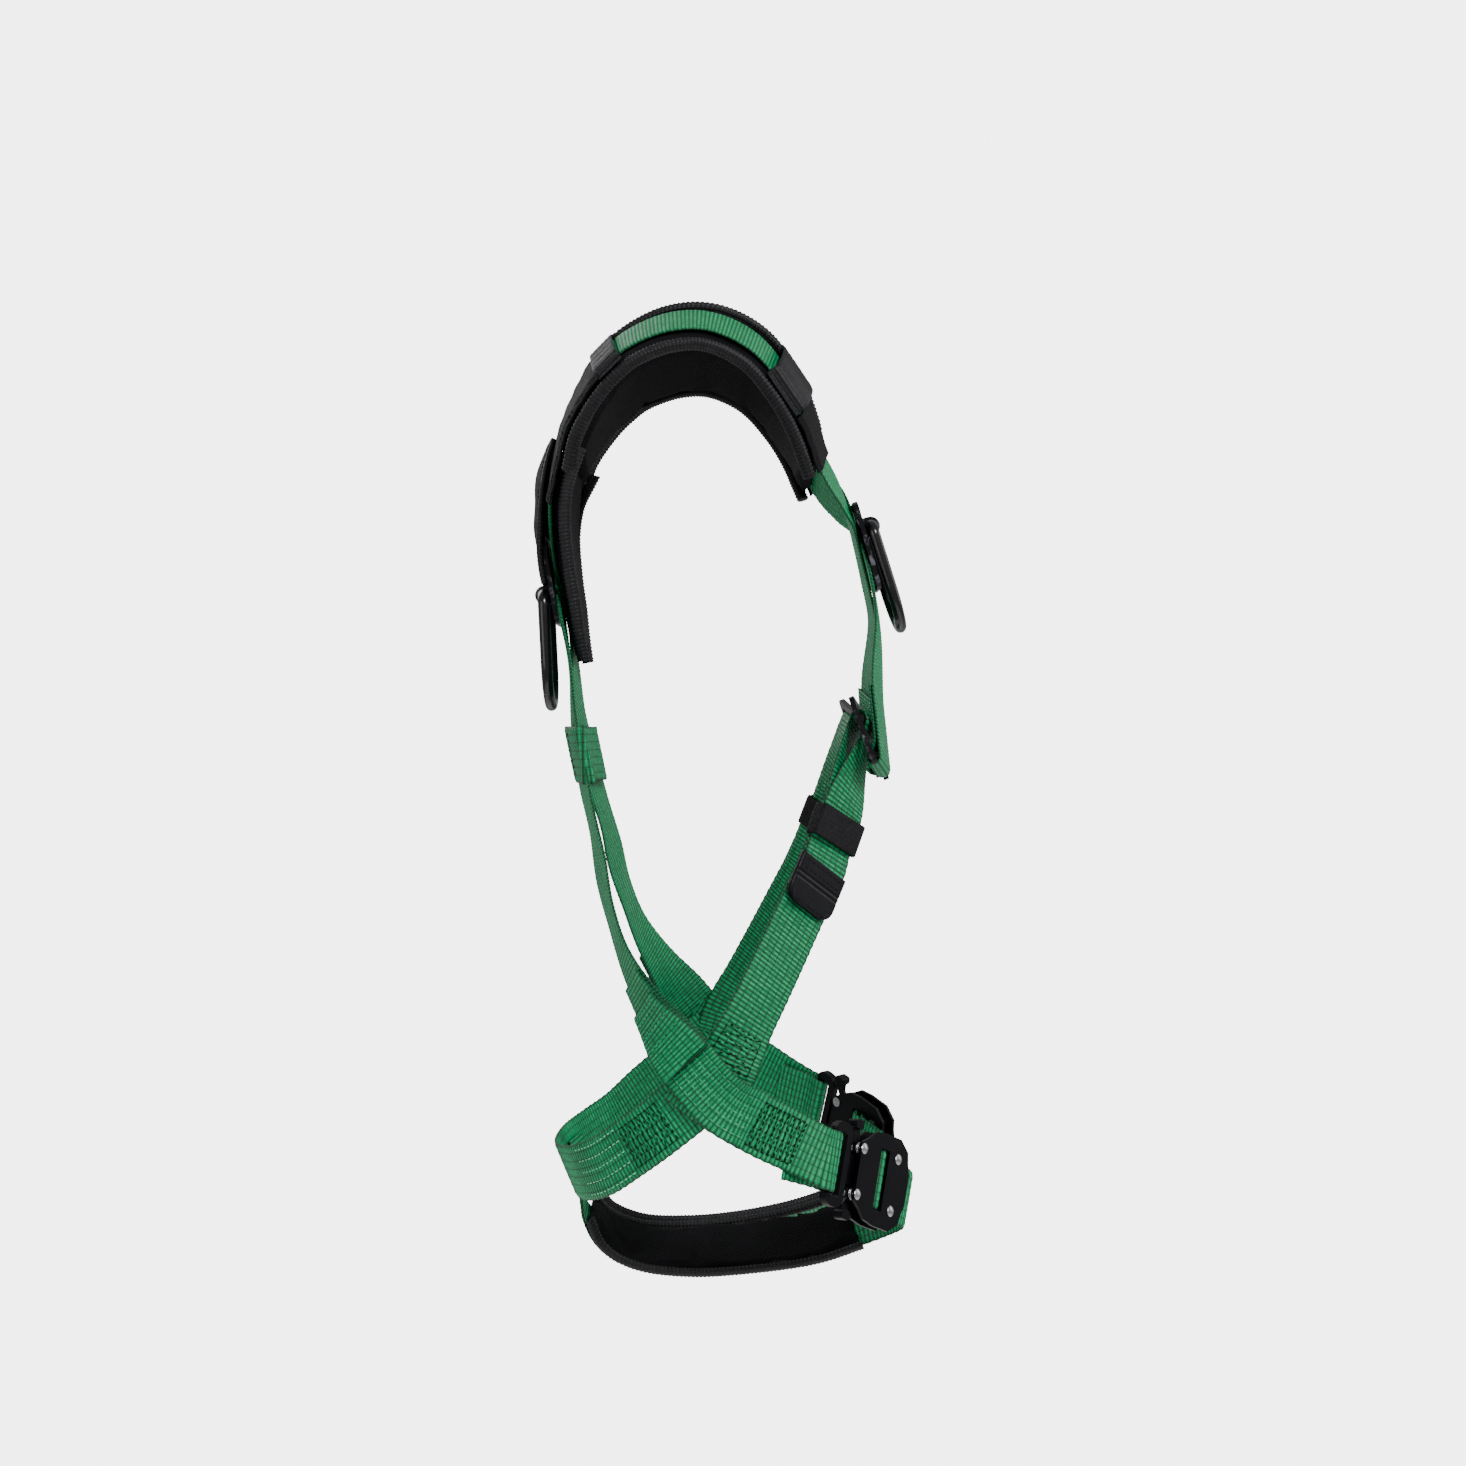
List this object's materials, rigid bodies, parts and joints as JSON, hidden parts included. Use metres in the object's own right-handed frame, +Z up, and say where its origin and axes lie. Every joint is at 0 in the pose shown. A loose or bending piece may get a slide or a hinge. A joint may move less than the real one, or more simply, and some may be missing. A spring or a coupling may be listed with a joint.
{
  "type": "full body harness",
  "caption": "Worn-shape work-at-height full body harness: green webbing, padded black shoulder yoke, back and chest rings, torso adjusters and quick-connect leg buckles.",
  "frame": {"origin": "inside the hips on the middle plane, at the height where each hip's straps cross", "axes": "+Z up along the wearer's body, -Y to the wearer's front, +X to the wearer's left"},
  "size_m": [0.3488, 0.3013, 0.7571],
  "materials": {
    "webbing": "woven polyester webbing, green",
    "yoke_padding": "black padded mesh and bound edges",
    "black_webbing": "black woven webbing and elastic",
    "leg_padding": "black padded fabric",
    "coated_steel": "black gloss coating over forged steel",
    "buckle_black": "black satin coating",
    "bare_steel": "polished steel",
    "strap_end": "moulded matt black"
  },
  "bodies": {
    "harness": {"adjuster_frame_l": "buckle_black", "adjuster_frame_r": "buckle_black", "back_pad": "yoke_padding", "back_web_l": "webbing", "back_web_r": "webbing", "buckle_inner_plate_l": "buckle_black", "buckle_inner_plate_r": "buckle_black", "buckle_outer_plate_l": "buckle_black", "buckle_outer_plate_r": "buckle_black", "buckle_rivets_l": "bare_steel", "buckle_rivets_r": "bare_steel", "buckle_springs_l": "bare_steel", "buckle_springs_r": "bare_steel", "buckle_tongue_l": "coated_steel", "buckle_tongue_r": "coated_steel", "buckle_web_bar_l": "bare_steel", "buckle_web_bar_r": "bare_steel", "dorsal_cover": "yoke_padding", "dorsal_plate": "buckle_black", "front_keeper_l": "black_webbing", "front_keeper_r": "black_webbing", "front_sleeve_l": "yoke_padding", "front_sleeve_r": "yoke_padding", "leg_front_web_l": "webbing", "leg_front_web_r": "webbing", "leg_pad_l": "leg_padding", "leg_pad_r": "leg_padding", "leg_web_l": "webbing", "leg_web_r": "webbing", "lower_front_web_l": "webbing", "lower_front_web_r": "webbing", "lumbar_strap": "webbing", "rear_keeper_l": "black_webbing", "rear_keeper_r": "black_webbing", "rear_sleeve_l": "yoke_padding", "rear_sleeve_r": "yoke_padding", "seat_strap": "webbing", "shoulder_pad_l": "yoke_padding", "shoulder_pad_r": "yoke_padding", "shoulder_web_l": "webbing", "shoulder_web_r": "webbing", "sternal_plate": "buckle_black", "strap_tip_l": "strap_end", "strap_tip_r": "strap_end"},
    "dorsal_ring": {"dorsal_ring": "coated_steel"},
    "sternal_ring": {"sternal_ring": "coated_steel"},
    "slider_r": {"adjuster_slider_r": "coated_steel"},
    "keeper_r": {"tail_keeper_r": "black_webbing"},
    "upper_lever_r": {"buckle_upper_lever_r": "buckle_black"},
    "lower_lever_r": {"buckle_lower_lever_r": "buckle_black"},
    "slider_l": {"adjuster_slider_l": "coated_steel"},
    "keeper_l": {"tail_keeper_l": "black_webbing"},
    "upper_lever_l": {"buckle_upper_lever_l": "buckle_black"},
    "lower_lever_l": {"buckle_lower_lever_l": "buckle_black"}
  },
  "joints": [
    {"name": "dorsal_ring_swing", "type": "hinge", "parent": "harness", "child": "dorsal_ring", "pos_m": [0, 0.136, 0.369], "axis": [1, 0, 0], "range_deg": [0, 140]},
    {"name": "sternal_ring_swing", "type": "hinge", "parent": "harness", "child": "sternal_ring", "pos_m": [0, -0.1243, 0.4242], "axis": [-1, 0, 0], "range_deg": [0, 150]},
    {"name": "adjuster_slide_r", "type": "slide", "parent": "harness", "child": "slider_r", "axis": [0.3201, 0.3101, 0.8952], "range_m": [0, 0.0025]},
    {"name": "keeper_slide_r", "type": "slide", "parent": "harness", "child": "keeper_r", "axis": [0.2406, -0.3408, 0.9088], "range_m": [-0.006, 0.003]},
    {"name": "upper_lever_press_r", "type": "hinge", "parent": "harness", "child": "upper_lever_r", "pos_m": [-0.11624, -0.10851, -0.05513], "axis": [-0.6374, -0.7659, 0.0847], "range_deg": [0, 10], "stiffness_Nm_per_rad": 0.05, "springref_deg": -5.73},
    {"name": "lower_lever_press_r", "type": "hinge", "parent": "harness", "child": "lower_lever_r", "pos_m": [-0.12805, -0.10225, -0.08747], "axis": [0.6374, 0.7659, -0.0847], "range_deg": [0, 10], "stiffness_Nm_per_rad": 0.05, "springref_deg": -5.73},
    {"name": "adjuster_slide_l", "type": "slide", "parent": "harness", "child": "slider_l", "axis": [-0.3201, 0.3101, 0.8952], "range_m": [0, 0.0025]},
    {"name": "keeper_slide_l", "type": "slide", "parent": "harness", "child": "keeper_l", "axis": [-0.2406, -0.3408, 0.9088], "range_m": [-0.006, 0.003]},
    {"name": "upper_lever_press_l", "type": "hinge", "parent": "harness", "child": "upper_lever_l", "pos_m": [0.11624, -0.10851, -0.05513], "axis": [-0.6374, 0.7659, -0.0847], "range_deg": [0, 10], "stiffness_Nm_per_rad": 0.05, "springref_deg": -5.73},
    {"name": "lower_lever_press_l", "type": "hinge", "parent": "harness", "child": "lower_lever_l", "pos_m": [0.12805, -0.10225, -0.08747], "axis": [0.6374, -0.7659, 0.0847], "range_deg": [0, 10], "stiffness_Nm_per_rad": 0.05, "springref_deg": -5.73}
  ]
}
